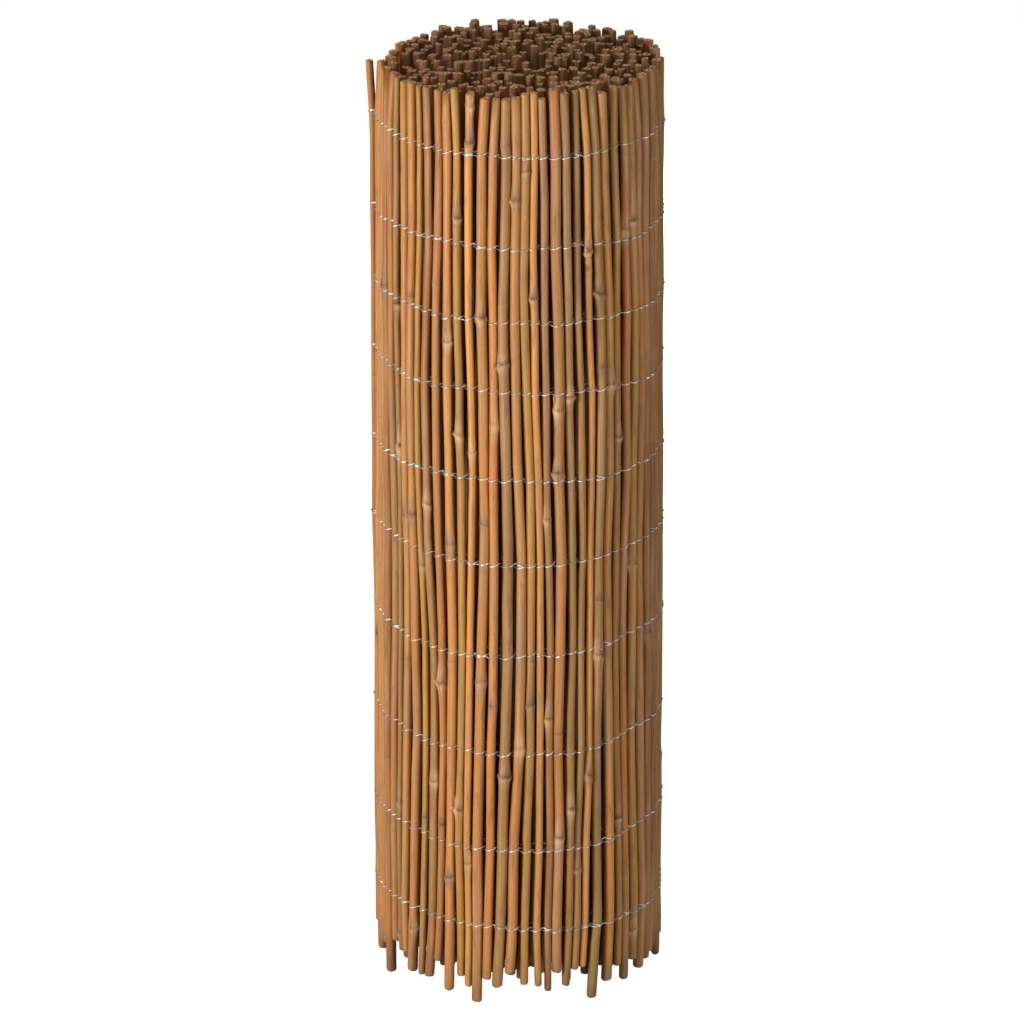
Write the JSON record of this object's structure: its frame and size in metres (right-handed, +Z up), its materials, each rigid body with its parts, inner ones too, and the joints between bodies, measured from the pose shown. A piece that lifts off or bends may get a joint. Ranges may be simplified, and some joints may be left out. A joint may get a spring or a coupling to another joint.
{
  "type": "rolled bamboo cane fence panel",
  "caption": "Rolled bamboo cane fencing standing upright: a spiral mat of thin leaning canes held by rows of galvanised wire",
  "frame": {"origin": "centre of the roll's bounding box, on the surface that the longest canes stand on", "axes": "+Z up along the canes, -Y towards the front, -X towards the side with the mat's free edge"},
  "size_m": [0.324, 0.3164, 1.036],
  "materials": {
    "bamboo": "dry, untreated, satin",
    "wire": "galvanised, dull"
  },
  "bodies": {
    "root": {"canes_turn_01": "bamboo", "canes_turn_02": "bamboo", "canes_turn_03": "bamboo", "canes_turn_04": "bamboo", "canes_turn_05": "bamboo", "canes_turn_06": "bamboo", "canes_turn_07": "bamboo", "canes_turn_08": "bamboo", "canes_turn_09": "bamboo", "canes_turn_10": "bamboo", "edge_cane": "bamboo", "wire_row_01": "wire", "wire_row_02": "wire", "wire_row_03": "wire", "wire_row_04": "wire", "wire_row_05": "wire", "wire_row_06": "wire", "wire_row_07": "wire", "wire_row_08": "wire", "wire_row_09": "wire", "wire_row_10": "wire"}
  },
  "joints": []
}
